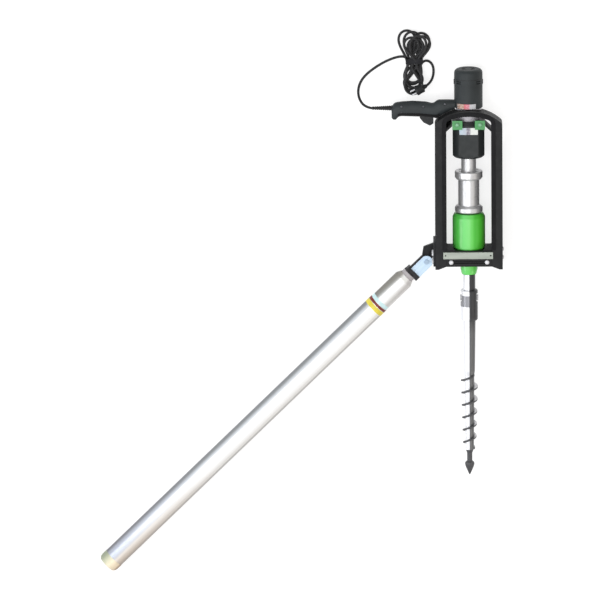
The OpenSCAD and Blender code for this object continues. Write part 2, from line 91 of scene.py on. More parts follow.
camera = bpy.data.objects.new("camera", bpy.data.cameras.new("camera"))
bpy.context.scene.collection.objects.link(camera)
camera.data.sensor_width = 36
camera.data.lens = camera.data.sensor_width * DISTANCE / PICTURE_WIDTH
camera.matrix_world = (Matrix.Translation(AIM + DISTANCE * Vector((0, math.sin(TILT), math.cos(TILT))))
                       @ Matrix.Rotation(-TILT, 4, "X") @ Matrix.Rotation(-ROLL, 4, "Z"))
camera.data.clip_end = 100
bpy.context.scene.camera = camera

# ---------- materials ----------


class Nodes:
    """Adds shader nodes to a tree."""

    def __init__(self, tree):
        self.tree = tree

    def add(self, kind, settings=(), **inputs):
        """A new node. An input is given by its name, or by its number as i0, i1 and so on."""
        node = self.tree.nodes.new("ShaderNode" + kind)
        for key, value in dict(settings).items():
            setattr(node, key, value)
        for key, value in inputs.items():
            numbered = key[0] == "i" and key[1:].isdigit()
            self.feed(node.inputs[int(key[1:]) if numbered else key.replace("_", " ")], value)
        return node

    def feed(self, socket, value):
        if isinstance(value, bpy.types.NodeSocket):
            self.tree.links.new(value, socket)
        else:
            socket.default_value = value

    def ramp(self, fac, *stops):
        """Colours at places from 0 to 1: (place, (r, g, b))."""
        node = self.add("ValToRGB", Fac=fac)
        elements = node.color_ramp.elements
        while len(elements) < len(stops):
            elements.new(0.5)
        for element, (place, colour) in zip(elements, stops):
            element.position = place
            element.color = (*colour, 1)
        return node.outputs["Color"]

    def mask(self, fac, low, high):
        return self.add("MapRange", i0=fac, i1=low, i2=high, i3=0.0, i4=1.0).outputs[0]

    def mix(self, fac, a, b, mode="MIX"):
        node = self.add("Mix", {"data_type": "RGBA", "blend_type": mode})
        self.feed(node.inputs[0], fac)
        for socket, value in ((node.inputs[6], a), (node.inputs[7], b)):
            self.feed(socket, (*value, 1) if isinstance(value, tuple) else value)
        return node.outputs[2]

    def product(self, a, b):
        return self.add("Math", {"operation": "MULTIPLY"}, i0=a, i1=b).outputs[0]


class Finish(Nodes):
    """A procedural material, built from noise in the row frame."""

    def __init__(self, name, **sockets):
        self.material = bpy.data.materials.new(name)
        self.material.use_nodes = True
        super().__init__(self.material.node_tree)
        self.shader = self.tree.nodes["Principled BSDF"]
        self.place = self.add("TexCoord").outputs["Object"]
        self.height = None
        for key, value in sockets.items():
            self.shader.inputs[key.replace("_", " ")].default_value = value

    def turned_place(self, angle, stretch=(1, 1, 1)):
        """The row frame turned by angle about Z, then stretched."""
        turn = self.add("VectorRotate", {"rotation_type": "Z_AXIS"}, Vector=self.place, Angle=-angle)
        return self.add("VectorMath", {"operation": "MULTIPLY"}, i0=turn.outputs[0], i1=stretch).outputs[0]

    def noise(self, scale, stretch=(1, 1, 1), angle=0.0, detail=3.0):
        place = self.turned_place(angle, stretch)
        return self.add("TexNoise", Vector=place, Scale=scale, Detail=detail, Roughness=0.6).outputs["Fac"]

    def colour(self, value):
        self.feed(self.shader.inputs["Base Color"], value)

    def rough(self, fac, low, high):
        node = self.add("MapRange", i0=fac, i1=0.3, i2=0.7, i3=low, i4=high)
        self.feed(self.shader.inputs["Roughness"], node.outputs[0])

    def bump(self, height, depth):
        """Adds a height map whose full range is depth millimetres."""
        inputs = {"Height": height, "Distance": depth * MM, "Strength": 1.0}
        if self.height is not None:
            inputs["Normal"] = self.height
        self.height = self.add("Bump", **inputs).outputs[0]
        self.feed(self.shader.inputs["Normal"], self.height)

    def edges(self, radius):
        """1 on sharp outer and inner edges, within radius millimetres of them."""
        round_normal = self.add("Bevel", Radius=radius * MM).outputs[0]
        flat_normal = self.add("NewGeometry").outputs["Normal"]
        node = self.add("VectorMath", {"operation": "DOT_PRODUCT"}, i0=round_normal, i1=flat_normal)
        return self.mask(node.outputs["Value"], 0.99, 0.86)

    def across(self, axis, low, high):
        """0 to 1 from low to high millimetres along a row axis."""
        part = self.add("SeparateXYZ", Vector=self.place).outputs[axis]
        return self.mask(part, low * MM, high * MM)

    def beside_arm(self, half):
        """0 to 1 across the arm, from half a width on its lower right to half on its upper left."""
        side = (math.sin(ARM_ANGLE), -math.cos(ARM_ANGLE), 0)
        middle = PIVOT.x * side[0] + PIVOT.y * side[1] - TUBE_Y
        part = self.add("VectorMath", {"operation": "DOT_PRODUCT"}, i0=self.place, i1=side).outputs["Value"]
        return self.mask(part, (middle - half) * MM, (middle + half) * MM)

    def down_arm(self, low, high):
        """0 to 1 from low to high millimetres down the arm from its hinge."""
        way = (math.cos(ARM_ANGLE), math.sin(ARM_ANGLE), 0)
        start = PIVOT.x * way[0] + PIVOT.y * way[1]
        part = self.add("VectorMath", {"operation": "DOT_PRODUCT"}, i0=self.place, i1=way).outputs["Value"]
        return self.mask(part, (start + low) * MM, (start + high) * MM)


def shade(colour, factor):
    return tuple(c * factor for c in colour)


def moulded(name, colour, roughness):
    """Moulded plastic with a spark-eroded grain."""
    f = Finish(name, Specular_IOR_Level=0.45)
    cloud = f.noise(14, detail=2)
    f.colour(f.ramp(cloud, (0.3, shade(colour, 0.8)), (0.7, shade(colour, 1.25))))
    f.rough(f.noise(300), roughness - 0.06, roughness + 0.08)
    f.bump(f.noise(2200, detail=2), 0.05)
    return f.material


def painted(name, colour, roughness, peel, worn=None):
    """Powder coat: orange peel, soft mottling, and thin paint on the edges."""
    f = Finish(name)
    cloud = f.noise(9, detail=4)
    base = f.ramp(cloud, (0.3, shade(colour, 0.94)), (0.7, shade(colour, 1.06)))
    if worn:
        spots = f.mask(f.noise(120, detail=5), 0.42, 0.62)
        base = f.mix(f.product(f.edges(1.1), spots), base, worn)
    f.colour(base)
    f.rough(f.noise(60, detail=4), roughness - 0.08, roughness + 0.1)
    f.bump(f.noise(420, detail=1), peel)
    return f.material


STAIN = 0.85         # how much of its colour stained metal keeps


def machined(name, colour, roughness, stretch, angle=0.0, depth=0.01, metallic=1.0):
    """Bare metal whose tool marks or drawing lines follow stretch."""
    f = Finish(name, Metallic=metallic)
    lines = f.noise(1, stretch, angle, detail=3)
    cloud = f.noise(11, detail=5)
    base = f.ramp(lines, (0.25, shade(colour, STAIN)), (0.75, shade(colour, 1.06)))
    f.colour(f.mix(f.mask(cloud, 0.5, 0.8), base, shade(colour, STAIN * 0.9)))
    f.rough(f.noise(1, tuple(0.5 * s for s in stretch), angle, detail=4), roughness * 0.7, roughness * 1.4)
    f.bump(lines, depth)
    return f.material


def tube_metal(name, near, far, low, high):
    """Drawn tube. near and far are its tones across the arm, at low and high millimetres down it.

    The light and dark bands are the photograph's highlights, held by the colour in any light.
    """
    f = Finish(name, Metallic=0.4)
    tones = [f.ramp(f.beside_arm(TUBE_R), *stops) for stops in (near, far)]
    tone = f.mix(f.down_arm(low, high), *tones)
    lines = f.noise(1, ALONG_ARM, ARM_ANGLE)
    f.colour(f.mix(0.12, tone, f.ramp(lines, (0.3, (0.3, 0.3, 0.3)), (0.7, (1, 1, 1))), "MULTIPLY"))
    f.rough(f.noise(1, (5, 300, 300), ARM_ANGLE), 0.34 - 0.04, 0.34 + 0.06)
    f.bump(lines, 0.002)
    return f.material


def painted_reflection_bar(name, pale, dark, low_dark, roughness):
    """Steel bar whose pale left is a painted highlight and whose dark right is a painted dark reflection,
    held by the colour in any light.

    low_dark is the dark side's tone further down the shaft.
    """
    f = Finish(name, Metallic=0.45)
    lines = f.noise(1, ALONG_BAR, detail=3)
    bolt_band = f.product(f.across(1, -149, -147), f.across(1, -112, -114))
    bright = f.mix(bolt_band, pale, (0.27, 0.27, 0.29))
    tone = f.mix(f.across(0, -1.2, 1.8), bright, f.mix(f.across(1, -180, -230), dark, low_dark))
    f.colour(f.mix(0.2, tone, f.ramp(lines, (0.3, (0.4, 0.4, 0.4)), (0.7, (1, 1, 1))), "MULTIPLY"))
    f.rough(lines, roughness - 0.05, roughness + 0.08)
    f.bump(lines, 0.003)
    return f.material


def rubber(name, colour, roughness=0.7, depth=0.04):
    f = Finish(name, Specular_IOR_Level=0.35, Sheen_Weight=0.12, Sheen_Roughness=0.5)
    dust = f.noise(35, detail=5)
    f.colour(f.ramp(dust, (0.35, colour), (0.75, shade(colour, 1.9))))
    f.rough(f.noise(240), roughness - 0.08, roughness + 0.08)
    f.bump(f.noise(1300, detail=2), depth)
    return f.material


def printed(name, *stops, low, high):
    """A plate with plain fields of colour from low to high along X, and no lettering."""
    f = Finish(name, Coat_Weight=0.4, Coat_Roughness=0.1)
    fields = f.ramp(f.across(0, low, high), *stops)
    scuffs = f.mask(f.noise(160, detail=6), 0.52, 0.75)
    f.colour(f.mix(scuffs, fields, (0.5, 0.5, 0.5)))
    f.rough(f.noise(300), 0.25, 0.45)
    f.bump(f.noise(900), 0.01)
    return f.material


ALONG_MACHINE = (60, 2600, 60)   # rings round the machine's axis
ALONG_BAR = (1400, 14, 1400)     # drawing lines along the machine's axis
ALONG_ARM = (10, 1100, 1100)     # drawing lines along the arm

motor_plastic = moulded("motor_plastic", (0.022, 0.027, 0.029), 0.55)
black_plastic = moulded("black_plastic", (0.012, 0.013, 0.014), 0.5)
gearbox_black = painted("gearbox_black", (0.016, 0.019, 0.020), 0.5, 0.09, worn=(0.08, 0.08, 0.08))
frame_black = painted("frame_black", (0.012, 0.0125, 0.0135), 0.5, 0.06, worn=(0.07, 0.07, 0.07))

# The housing, its bands of light again held by the colour
f = Finish("housing_green", Coat_Weight=0.35, Coat_Roughness=0.2)
body = f.ramp(f.across(0, -51, 51), (0.0, (0.12, 0.62, 0.10)), (0.22, (0.06, 0.44, 0.05)),
              (0.34, (0.14, 0.60, 0.14)), (0.60, (0.11, 0.56, 0.08)), (0.68, (0.045, 0.46, 0.022)),
              (0.9, (0.08, 0.52, 0.04)), (1.0, (0.20, 0.62, 0.11)))
f.colour(f.mix(0.15, body, f.ramp(f.noise(30), (0.3, (0.7, 0.8, 0.7)), (0.7, (1, 1, 1))), "MULTIPLY"))
f.rough(f.noise(60, detail=4), 0.34, 0.44)
f.bump(f.noise(420, detail=1), 0.01)
housing_green = f.material

grey_aluminium = machined("grey_aluminium", (0.50, 0.48, 0.52), 0.55, ALONG_MACHINE, metallic=0.3)
turned_steel = machined("turned_steel", (0.66, 0.66, 0.67), 0.36, ALONG_MACHINE, metallic=0.6)
# The auger's pale side is a painted highlight and its dark side a painted dark reflection
auger_steel = painted_reflection_bar("auger_steel", (0.84, 0.84, 0.87), (0.045, 0.046, 0.05), (0.125, 0.127, 0.132), 0.34)

# The blade: dark, with its right faces towards the motor pale, as the photograph shows them; that pale is a
# painted highlight
f = Finish("blade_steel", Metallic=0.35)
normal = f.add("NewGeometry").outputs["Normal"]
upward = f.add("VectorMath", {"operation": "DOT_PRODUCT"}, i0=normal, i1=(0, 1, 0))
dark_tone = f.ramp(f.noise(300), (0.3, (0.055, 0.055, 0.06)), (0.7, (0.09, 0.09, 0.095)))
painted_highlight_face = f.product(f.mask(upward.outputs["Value"], 0.35, 0.75), f.across(0, 12, 17))
f.colour(f.mix(painted_highlight_face, dark_tone, (0.62, 0.62, 0.64)))
f.rough(f.noise(200), 0.42, 0.58)
f.bump(f.noise(300), 0.02)
blade_steel = f.material

tube_near = [(0.02, (0.40, 0.39, 0.38)), (0.09, (0.36, 0.35, 0.34)), (0.16, (0.74, 0.73, 0.71)),
             (0.30, (0.92, 0.92, 0.92)), (0.72, (0.93, 0.93, 0.94)), (0.84, (0.62, 0.64, 0.67)),
             (0.92, (0.26, 0.27, 0.28)), (0.99, (0.16, 0.17, 0.18))]
tube_far = [(0.02, (0.22, 0.18, 0.15)), (0.10, (0.34, 0.29, 0.25)), (0.22, (0.62, 0.54, 0.47)),
            (0.42, (0.80, 0.74, 0.68)), (0.52, (0.56, 0.58, 0.64)), (0.66, (0.44, 0.48, 0.57)),
            (0.88, (0.40, 0.42, 0.49)), (0.97, (0.14, 0.14, 0.16))]
sleeve_near = [(0.02, (0.55, 0.53, 0.52)), (0.14, (0.50, 0.48, 0.47)), (0.30, (0.60, 0.58, 0.58)),
               (0.42, (0.92, 0.92, 0.92)), (0.66, (0.92, 0.92, 0.90)), (0.78, (0.36, 0.34, 0.31)),
               (0.96, (0.17, 0.16, 0.14))]
sleeve_far = [(0.02, (0.55, 0.53, 0.52)), (0.2, (0.6, 0.6, 0.58)), (0.4, (0.9, 0.9, 0.9)),
              (0.7, (0.9, 0.9, 0.9)), (0.85, (0.3, 0.3, 0.28)), (0.96, (0.17, 0.16, 0.14))]
tube_steel = tube_metal("tube_steel", tube_near, tube_far, 900, 1340)
sleeve_steel = tube_metal("sleeve_steel", sleeve_near, sleeve_far, 70, 200)
# The cheeks' blue tint is a painted reflection
bright_steel = machined("bright_steel", (0.50, 0.63, 0.76), 0.5, ALONG_ARM, ARM_ANGLE, metallic=0.4)

# Screws: zinc low on the frame, and green where they clamp the lugs; that green is a painted reflection
f = Finish("clamp_bolt_zinc", Metallic=0.3)
zinc = f.ramp(f.noise(300), (0.3, (0.50, 0.50, 0.52)), (0.7, (0.64, 0.64, 0.66)))
f.colour(f.mix(f.across(1, 300, 320), zinc, (0.16, 0.34, 0.20)))
f.rough(f.noise(200), 0.35, 0.5)
f.bump(f.noise(700), 0.004)
bolt_zinc = f.material

# The knuckle: black, with its bare spigot beyond 63 mm from the pin
f = Finish("knuckle_steel", Specular_IOR_Level=0.25)
black = f.ramp(f.noise(120), (0.3, (0.010, 0.010, 0.012)), (0.7, (0.016, 0.016, 0.018)))
f.colour(f.mix(f.down_arm(62.5, 63.5), black, (0.36, 0.34, 0.35)))
f.rough(f.noise(200), 0.45, 0.6)
f.bump(f.noise(420, detail=1), 0.05)
knuckle_steel = f.material

dark_steel = machined("dark_steel", (0.10, 0.10, 0.11), 0.42, (500, 500, 500), depth=0.03)
brace_steel = machined("brace_steel", (0.33, 0.36, 0.32), 0.5, (30, 400, 400), depth=0.004, metallic=0.4)
zinc_plate = machined("zinc_plate", (0.62, 0.62, 0.64), 0.4, (400, 400, 400), metallic=0.6)
# The pin's blue tint is a painted reflection
pin_steel = machined("pin_steel", (0.34, 0.44, 0.56), 0.5, (400, 400, 400), metallic=0.3)
lug_green = painted("lug_green", (0.05, 0.26, 0.075), 0.45, 0.04)
carbon = moulded("carbon", (0.02, 0.02, 0.02), 0.7)
copper = machined("copper_winding", (0.75, 0.33, 0.16), 0.35, (60, 1800, 60), depth=0.1)
dark_red = moulded("dark_red", (0.16, 0.018, 0.014), 0.45)
cream_plastic = moulded("cream_plastic", (0.74, 0.68, 0.50), 0.42)

# The arm's end cap: cream, with the photograph's shading across it held by the colour
f = Finish("cap_plastic", Specular_IOR_Level=0.3)
f.colour(f.mix(0.2, f.ramp(f.beside_arm(TUBE_R), (0.04, (0.26, 0.17, 0.10)), (0.16, (0.72, 0.60, 0.44)),
                           (0.5, (0.80, 0.72, 0.54)), (0.72, (0.52, 0.52, 0.38)), (0.94, (0.26, 0.29, 0.21))),
               f.ramp(f.noise(60), (0.3, (0.6, 0.6, 0.6)), (0.7, (1, 1, 1))), "MULTIPLY"))
f.rough(f.noise(200), 0.4, 0.55)
f.bump(f.noise(900), 0.01)
cap_plastic = f.material

cord_rubber = rubber("cord_rubber", (0.010, 0.010, 0.011), 0.5)
# The trims' near-black is painted shade, standing in for the shade in the channels' inner recess
trim_rubber_painted_shade = rubber("trim_rubber_painted_shade", (0.006, 0.006, 0.007), 0.75)
grip_rubber = rubber("grip_rubber", (0.004, 0.004, 0.0045), 0.85, 0.06)
strap_web = rubber("strap_web", (0.012, 0.012, 0.014), 0.9, 0.15)
motor_plate = printed("motor_plate", (0.0, (0.24, 0.13, 0.08)), (0.3, (0.40, 0.22, 0.15)),
                      (0.42, (0.55, 0.05, 0.09)), (0.62, (0.48, 0.10, 0.16)), (0.72, (0.50, 0.50, 0.53)),
                      low=-34, high=22)
gear_plate = printed("gear_plate", (0.05, (0.30, 0.40, 0.50)), (0.34, (0.33, 0.37, 0.44)),
                     (0.42, (0.10, 0.08, 0.13)), (0.56, (0.14, 0.12, 0.17)), (0.64, (0.58, 0.60, 0.57)),
                     low=-28, high=28)
cyan_band = moulded("cyan_band", (0.50, 0.68, 0.70), 0.35)
yellow_band = moulded("yellow_band", (0.62, 0.52, 0.05), 0.4)

# These reflect less than a Principled surface does by default
for dull, amount in ((frame_black, 0.18), (motor_plastic, 0.3), (black_plastic, 0.3), (gearbox_black, 0.3),
                     (cord_rubber, 0.25), (trim_rubber_painted_shade, 0.15), (grip_rubber, 0.15), (strap_web, 0.2)):
    dull.node_tree.nodes["Principled BSDF"].inputs["Specular IOR Level"].default_value = amount

# ---------- shapes, in millimetres ----------


def merged(*shapes):
    verts, faces = [], []
    for v, f in shapes:
        faces += [tuple(i + len(verts) for i in face) for face in f]
        verts += v
    return verts, faces


def moved(shape, matrix):
    return [matrix @ Vector(v) for v in shape[0]], shape[1]


def lathe(points, steps=72, hexed=()):
    """Revolves (radius, z) points about Z. Points whose index is in hexed make a hexagon."""
    verts, rings = [], []
    for i, (r, z) in enumerate(points):
        if r < 1e-6:
            rings.append([len(verts)])
            verts.append((0, 0, z))
            continue
        ring = []
        for k in range(steps):
            a = 2 * math.pi * k / steps
            flat = math.cos(math.pi / 6) / math.cos((a % (math.pi / 3)) - math.pi / 6)
            reach = r * flat if i in hexed else r
            ring.append(len(verts))
            verts.append((reach * math.cos(a), reach * math.sin(a), z))
        rings.append(ring)
    faces = []
    for a, b in zip(rings, rings[1:]):
        for k in range(steps):
            m = (k + 1) % steps
            if len(a) == 1 and len(b) > 1:
                faces.append((a[0], b[m], b[k]))
            elif len(b) == 1 and len(a) > 1:
                faces.append((a[k], a[m], b[0]))
            elif len(a) > 1:
                faces.append((a[k], a[m], b[m], b[k]))
    return verts, faces


def prism(outline, z0, z1):
    n = len(outline)
    verts = [(x, y, z) for z in (z0, z1) for x, y in outline]
    sides = [(k, (k + 1) % n, n + (k + 1) % n, n + k) for k in range(n)]
    return verts, sides + [tuple(reversed(range(n))), tuple(range(n, 2 * n))]


def block(x0, x1, y0, y1, z0, z1):
    return prism([(x0, y0), (x1, y0), (x1, y1), (x0, y1)], z0, z1)


def sweep(path, section, closed=False):
    """Sweeps a section of (side, up) points along a path. Side is to the right of the path."""
    path = [Vector(p) for p in path]
    n, m = len(path), len(section)
    verts = []
    for i, p in enumerate(path):
        before = path[i - 1] if i or closed else None
        after = path[(i + 1) % n] if i < n - 1 or closed else None
        into = (p - before).normalized() if before is not None else (after - p).normalized()
        out = (after - p).normalized() if after is not None else into
        side_in, side_out = (d.cross(Vector((0, 0, 1))).normalized() for d in (into, out))
        side = (side_in + side_out).normalized()
        side /= max(0.5, side.dot(side_in))
        verts += [p + side * s + Vector((0, 0, u)) for s, u in section]
    loops = n if closed else n - 1
    faces = [(i * m + k, i * m + (k + 1) % m, ((i + 1) % n) * m + (k + 1) % m, ((i + 1) % n) * m + k)
             for i in range(loops) for k in range(m)]
    if not closed:
        faces += [tuple(reversed(range(m))), tuple((n - 1) * m + k for k in range(m))]
    return verts, faces


def on_axis(y, turn=0.0):
    """Turns a lathe's Z into the machine's axis, at y."""
    upright = Matrix.Translation((0, y, AXIS_Z)) @ Matrix.Rotation(-math.pi / 2, 4, "X")
    return upright @ Matrix.Rotation(turn, 4, "Z")


ARM = Matrix.Translation(PIVOT) @ Matrix.Rotation(ARM_ANGLE, 4, "Z")


def on_tube():
    """Turns a lathe's Z into the way down the arm's tube, from the hinge pin."""
    return ARM @ Matrix.Translation((0, TUBE_Y, 0)) @ Matrix.Rotation(math.pi / 2, 4, "Y")


def soften(o, width, segments=3, angle=30):
    edge = o.modifiers.new("edges", "BEVEL")
    edge.width, edge.segments = width * MM, segments
    edge.limit_method, edge.angle_limit = "ANGLE", math.radians(angle)
    edge.use_clamp_overlap = True
    return edge


def piece(name, shape, finish, body="frame", edge=0.0, segments=3, smooth=32, stands_for=()):
    """Makes a shape in millimetres into a named piece that rides on a body."""
    mesh = bpy.data.meshes.new(name)
    mesh.from_pydata([tuple(v) for v in shape[0]], [], shape[1])
    mesh.transform(Matrix.Scale(MM, 4))
    bm = bmesh.new()
    bm.from_mesh(mesh)
    bmesh.ops.recalc_face_normals(bm, faces=bm.faces)
    bm.to_mesh(mesh)
    bm.free()
    mesh.materials.append(finish)
    mesh.polygons.foreach_set("use_smooth", [True] * len(mesh.polygons))
    mesh.set_sharp_from_angle(angle=math.radians(smooth))
    o = bpy.data.objects.new(name, mesh)
    bpy.context.scene.collection.objects.link(o)
    if edge:
        soften(o, edge, segments)
        o.modifiers.new("normals", "WEIGHTED_NORMAL").keep_sharp = True
    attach(o, body)
    if stands_for:
        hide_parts(*stands_for)
    return o


# ---------- the lead, its hank and its plug ----------

lead = [(-294, 473, 54), (-306, 474, 52), (-317, 478, 47), (-326, 485, 39), (-332, 494, 30),
        (-336, 505, 21), (-337, 517, 13), (-335, 530, 7), (-330, 543, 4.2), (-322, 556, 4.2),
        (-311, 568, 4.2), (-297, 580, 4.2), (-281, 591, 4.2), (-264, 602, 4.2), (-246, 611, 4.2),
        (-229, 618, 4.2), (-213, 622.5, 4.2), (-200, 624.5, 4.2), (-188.5, 622, 4.2), (-180.5, 615, 4.2),
        (-177, 606, 4.2)]
tail = [(-147.8, 588, 19.5), (-146.5, 599, 17.5), (-141, 608.5, 14), (-131.5, 613, 9.5),
        (-120.5, 611, 6), (-111.5, 603.5, 4.4), (-106.5, 592.5, 4.6), (-105, 580, 7), (-106, 567.5, 13),
        (-110, 556, 23), (-117.5, 546.5, 35), (-128, 540, 44.8)]
TURNS = 9
WAIST = (-164.5, 600)      # where the hank is tied
FLOOR_Z = CORD_D / 2 + 0.2


def ease(t):
    return t * t * (3 - 2 * t)


def half_turn(start, end, centre, radius, z_end, up):
    """From one strand at the waist, round one end of the hank, to another strand."""
    side = -1 if start[0] < end[0] else 1
    out = []
    for t in (0, 0.3, 0.6, 0.85):
        out.append((start[0] + (centre[0] + side * radius - start[0]) * ease(min(1, t / 0.95)),
                    WAIST[1] + (centre[1] - WAIST[1]) * t, start[1] + (z_end - start[1]) * ease(t)))
    for i in range(7):
        a = math.pi * i / 6
        out.append((centre[0] + side * radius * math.cos(a),
                    centre[1] + (1 if up else -1) * radius * math.sin(a), z_end))
    for t in (0.85, 0.6, 0.3):
        out.append((end[0] + (centre[0] - side * radius - end[0]) * ease(t / 0.95),
                    WAIST[1] + (centre[1] - WAIST[1]) * t, end[1] + (z_end - end[1]) * ease(t)))
    return out


def crossed_turn(start, end, centre, radius, z_end, up):
    """The same, but the two strands cross over each other on the way."""
    side = 1 if start[0] < end[0] else -1
    rise = 1 if up else -1
    lean = math.radians(27)
    join = (radius * math.cos(lean), -rise * radius * math.sin(lean))
    out = []
    for t in (0, 0.22, 0.44, 0.66, 0.86):
        out.append((start[0] + (centre[0] + side * join[0] - start[0]) * (0.6 * t + 0.4 * t * t),
                    WAIST[1] + (centre[1] + join[1] - WAIST[1]) * t,
                    start[1] + (z_end - start[1]) * ease(t) + 4 * math.sin(math.pi * t)))
    for i in range(9):
        a = -lean + (math.pi + 2 * lean) * i / 8
        out.append((centre[0] + side * radius * math.cos(a), centre[1] + rise * radius * math.sin(a), z_end))
    for t in (0.86, 0.66, 0.44, 0.22):
        out.append((end[0] + (centre[0] - side * join[0] - end[0]) * (0.6 * t + 0.4 * t * t),
                    WAIST[1] + (centre[1] + join[1] - WAIST[1]) * t,
                    end[1] + (z_end - end[1]) * ease(t) - 2 * math.sin(math.pi * t)))
    return out


def strands(k):
    """The left and right strand of turn k at the waist, as (x, z): three turns to a layer."""
    x = WAIST[0] - 20 + CORD_D * (1, 0, 2, 0, 1, 2, 1, 0, 2)[k]
    z = FLOOR_Z + CORD_D * (k // 3)
    return (x, z), (x + 24, z)


# The upper loops: (sideways from the waist, height of the crown, radius, whether its strands
# cross). The first leans out on the left, two hang out on the right, the rest fill the middle.
CROWNS = [(-22.5, 680, 26.5, False), (21, 672, 27, False), (2, 650, 25, True), (-6, 677, 27, False),
          (25, 666, 25, False), (4, 658, 26, True), (-9, 664, 24.5, True), (12, 668, 26, False)]
# The lower loops: (sideways, height, whether its strands cross)
LOWS = [(-4, 533, True), (-1.5, 550, False), (-4, 541, True), (-6.5, 562, False), (-1.5, 536, True),
        (-4, 569, False), (-7.5, 545, True), (-0.5, 555, False), (-4, 535, False)]

route = list(lead)
for k in range(TURNS):
    left, right = strands(k)
    across, high, crossing = LOWS[k]
    turn = crossed_turn if crossing else half_turn
    low = turn(left, right, (WAIST[0] + across, high), 26.3 + 0.6 * ((5 * k) % 3), FLOOR_Z + 2.6 * k, False)
    route += low[1:] if k == 0 else low
    if k < TURNS - 1:
        across, high, radius, crossing = CROWNS[k]
        turn = crossed_turn if crossing else half_turn
        crown = (WAIST[0] + across, high)
        route += turn(right, strands(k + 1)[0], crown, radius, FLOOR_Z + 1.5 + 3 * k, True)
route = route[:-1] + tail


def rounded_route(points, steps=6):
    """A smooth curve through the points."""
    points = [Vector(p) for p in points]
    out = []
    for i in range(len(points) - 1):
        a, b, c, d = (points[max(0, min(len(points) - 1, i + j))] for j in (-1, 0, 1, 2))
        for s in range(steps):
            t = s / steps
            out.append(0.5 * (2 * b + (c - a) * t + (2 * a - 5 * b + 4 * c - d) * t ** 2
                              + (3 * b - a - 3 * c + d) * t ** 3))
    return out + [points[-1]]


def relaxed(points, spacing=4.0, passes=14):
    """The same curve through evenly spaced points, with its tight bends eased and its ends kept."""
    line, left = [points[0]], spacing
    for a, b in zip(points, points[1:]):
        gap = (b - a).length
        while gap >= left:
            a = a + (b - a) * (left / gap)
            line.append(a)
            gap, left = gap - left, spacing
        left -= gap
    line.append(points[-1])
    for _ in range(passes):
        line[2:-2] = [(line[i - 1] + 2 * line[i] + line[i + 1]) / 4 for i in range(2, len(line) - 2)]
    return [Vector((point.x, point.y, max(point.z, FLOOR_Z))) for point in line]


cord_line = relaxed(rounded_route(route))
cord_data = bpy.data.curves.new("lead", "CURVE")
cord_data.dimensions = "3D"
cord_data.bevel_depth = CORD_D / 2 * MM
cord_data.bevel_resolution = 5
cord_data.use_fill_caps = True
spline = cord_data.splines.new("POLY")
spline.points.add(len(cord_line) - 1)
for point, place in zip(spline.points, cord_line):
    point.co = (*(place * MM), 1)
spline.use_smooth = True
cord_data.materials.append(cord_rubber)
lead_cord = bpy.data.objects.new("lead_cord", cord_data)
bpy.context.scene.collection.objects.link(lead_cord)
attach(lead_cord, "frame")
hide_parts("cord_tube", "cord_hank")

# Plug: a tapered sleeve, a ribbed grip, a face with a shallow rim, and two pins
PLUG = (Matrix.Translation(tail[-1]) @ Matrix.Rotation(math.radians(207), 4, "Z")
        @ Matrix.Rotation(math.pi / 2, 4, "Y"))
grip = [(0, -1), (4.6, -1), (5.4, 0)]
for k in range(4):
    grip += [(5.6 + 0.5 * k, 1 + 2.2 * k), (6.2 + 0.5 * k, 1.6 + 2.2 * k), (6.2 + 0.5 * k, 2.4 + 2.2 * k),
             (5.6 + 0.5 * k, 2.9 + 2.2 * k)]
grip += [(8.6, 9.5), (14.2, 11.8), (15.0, 13)]
for k in range(4):
    grip += [(15.0, 14.4 + 3.2 * k), (14.2, 15.2 + 3.2 * k), (14.2, 16.2 + 3.2 * k), (15.0, 17 + 3.2 * k)]
grip += [(15.3, 28.5), (15.5, 29.5), (15.5, 34.8), (14.8, 36), (13.2, 36), (12.8, 35.2), (0, 35.2)]
plug_body = moved(lathe(grip, 64), PLUG)
pin = lathe([(0, 35), (3.4, 35), (3.4, 36.4), (2.4, 36.8), (2.4, 51.5), (1.6, 52.8), (0, 53)], 32)
pins = [moved(pin, PLUG @ Matrix.Translation((0, side, 0))) for side in (-6, 6)]
plug_piece = piece("plug_body", plug_body, black_plastic, stands_for=["plug"])
pin_piece = piece("plug_pins", merged(*pins), zinc_plate)

# Tie: a strap round the strands at the waist
half_x, top_z, low_z = 25.5, 26.0, 4.2
STRAP_CORNER = 4       # radius of its corners
STRAP_MIDDLE = 13      # height from which it grows outwards
STRAP_LOW, STRAP_HIGH = 604, 619
STRAP_INNER, STRAP_OUTER = 0.2, 1.2
loop = [(WAIST[0] + sx * (half_x - STRAP_CORNER + STRAP_CORNER * math.cos(a)),
         z0 + STRAP_CORNER * math.sin(a))
        for sx, z0, a in [(1, low_z, math.radians(d)) for d in (-90, -60, -30, 0)]
        + [(1, top_z - STRAP_CORNER, math.radians(d)) for d in (0, 30, 60, 90)]
        + [(-1, top_z - STRAP_CORNER, math.radians(d)) for d in (90, 60, 30, 0)]
        + [(-1, low_z, math.radians(d)) for d in (0, -30, -60, -90)]]
tie_verts, tie_faces = [], []
count = len(loop)
for y, grow in ((STRAP_LOW, STRAP_INNER), (STRAP_LOW, STRAP_OUTER),
                (STRAP_HIGH, STRAP_OUTER), (STRAP_HIGH, STRAP_INNER)):
    for x, z in loop:
        away = Vector((x - WAIST[0], z - STRAP_MIDDLE)).normalized()
        tie_verts.append((x + away.x * grow, y, max(0.0, z + away.y * grow)))
for a in range(4):
    for k in range(count):
        m = (k + 1) % count
        b = (a + 1) % 4
        tie_faces.append((a * count + k, a * count + m, b * count + m, b * count + k))
tie = piece("hank_tie", (tie_verts, tie_faces), strap_web, edge=0.3)

# ---------- CAD nodes ----------

